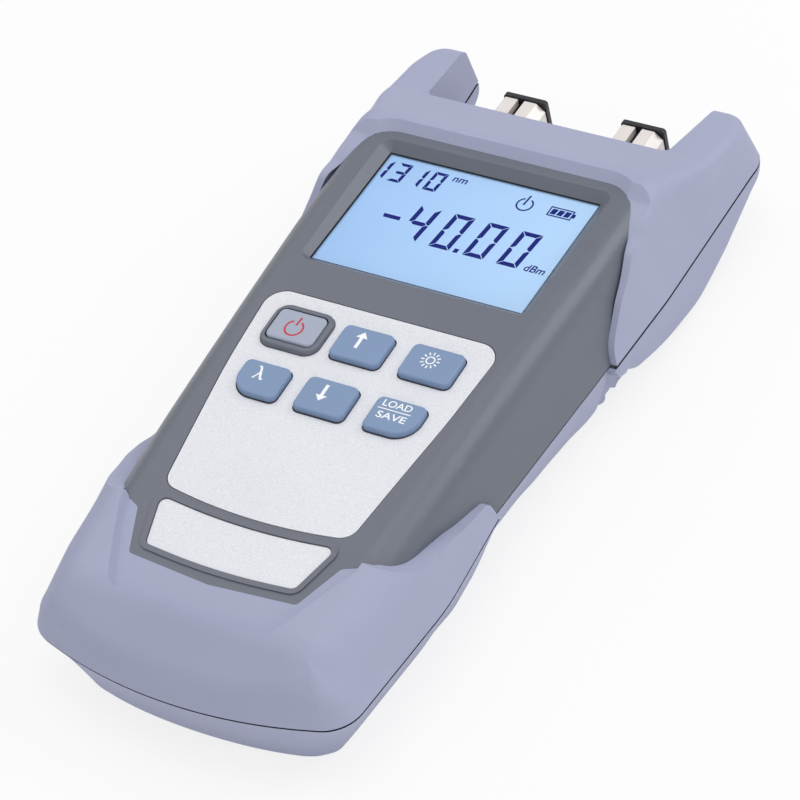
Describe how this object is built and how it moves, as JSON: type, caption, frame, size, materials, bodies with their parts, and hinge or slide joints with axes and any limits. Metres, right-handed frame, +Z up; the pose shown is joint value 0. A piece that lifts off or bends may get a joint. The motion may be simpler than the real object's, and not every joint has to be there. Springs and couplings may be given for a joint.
{
  "type": "optical power meter",
  "caption": "Handheld fibre light meter: drafted two-shell housing with soft horned bumper and boot, keypad, blue display and capped square fibre ports.",
  "frame": {"origin": "on the plane of the back, on the meter's centre line under the middle of the display", "axes": "+X to the right across the meter, +Y towards the fibre ports, +Z up out of the display; the meter lies on its back"},
  "size_m": [0.0908, 0.199, 0.039],
  "materials": {
    "grey_shell": "fine grained satin",
    "bumper_blue": "soft matt",
    "silver_sheet": "smooth silver paint",
    "key_blue": "satin",
    "key_pale": "satin",
    "mat_rubber": "matt",
    "display_clear": "clear",
    "display_blue": "pale blue",
    "light_guide": "translucent white",
    "board_green": "solder mask",
    "chip_black": "moulded",
    "screw_steel": "plated",
    "port_metal": "nickel plated",
    "sleeve_white": "polished",
    "cap_black": "moulded",
    "gold_can": "gold plated",
    "fibre_yellow": "coated",
    "cell_skin": "wrapped steel"
  },
  "bodies": {
    "housing": {"backlight": "light_guide", "board_chips": "chip_black", "board_screws": "screw_steel", "bottom_boot": "bumper_blue", "case_screws": "screw_steel", "cell_1": "cell_skin", "cell_2": "cell_skin", "cell_3": "cell_skin", "contact_plates": "screw_steel", "contact_springs": "screw_steel", "detector": "gold_can", "display_connector": "mat_rubber", "display_panel": "display_blue", "display_window": "display_clear", "fibre_pigtail": "fibre_yellow", "flange_screws": "screw_steel", "front_case": "grey_shell", "key_mat": "mat_rubber", "keypad_overlay": "silver_sheet", "label_plate": "silver_sheet", "main_board": "board_green", "port_left": "port_metal", "port_right": "port_metal", "power_light": "light_guide", "rear_case": "bumper_blue", "sleeve_left": "sleeve_white", "sleeve_right": "sleeve_white", "source_module": "gold_can", "top_bumper": "bumper_blue"},
    "power_key": {"key_power": "key_pale"},
    "up_key": {"key_up": "key_blue"},
    "light_key": {"key_light": "key_blue"},
    "wavelength_key": {"key_wavelength": "key_blue"},
    "down_key": {"key_down": "key_blue"},
    "memory_key": {"key_memory": "key_blue"},
    "left_cap": {"dust_cap_left": "cap_black"},
    "right_cap": {"dust_cap_right": "cap_black"},
    "door": {"battery_door": "bumper_blue"}
  },
  "joints": [
    {"name": "power_key_press", "type": "slide", "parent": "housing", "child": "power_key", "axis": [0, 0, -1], "range_m": [0, 0.0012], "stiffness_N_per_m": 900},
    {"name": "up_key_press", "type": "slide", "parent": "housing", "child": "up_key", "axis": [0, 0, -1], "range_m": [0, 0.0012], "stiffness_N_per_m": 900},
    {"name": "light_key_press", "type": "slide", "parent": "housing", "child": "light_key", "axis": [0, 0, -1], "range_m": [0, 0.0012], "stiffness_N_per_m": 900},
    {"name": "wavelength_key_press", "type": "slide", "parent": "housing", "child": "wavelength_key", "axis": [0, 0, -1], "range_m": [0, 0.0012], "stiffness_N_per_m": 900},
    {"name": "down_key_press", "type": "slide", "parent": "housing", "child": "down_key", "axis": [0, 0, -1], "range_m": [0, 0.0012], "stiffness_N_per_m": 900},
    {"name": "memory_key_press", "type": "slide", "parent": "housing", "child": "memory_key", "axis": [0, 0, -1], "range_m": [0, 0.0012], "stiffness_N_per_m": 900},
    {"name": "left_cap_pull", "type": "slide", "parent": "housing", "child": "left_cap", "axis": [0, 1, 0], "range_m": [0, 0.02]},
    {"name": "right_cap_pull", "type": "slide", "parent": "housing", "child": "right_cap", "axis": [0, 1, 0], "range_m": [0, 0.02]},
    {"name": "door_lift", "type": "slide", "parent": "housing", "child": "door", "axis": [0, 0, -1], "range_m": [0, 0.025]}
  ]
}
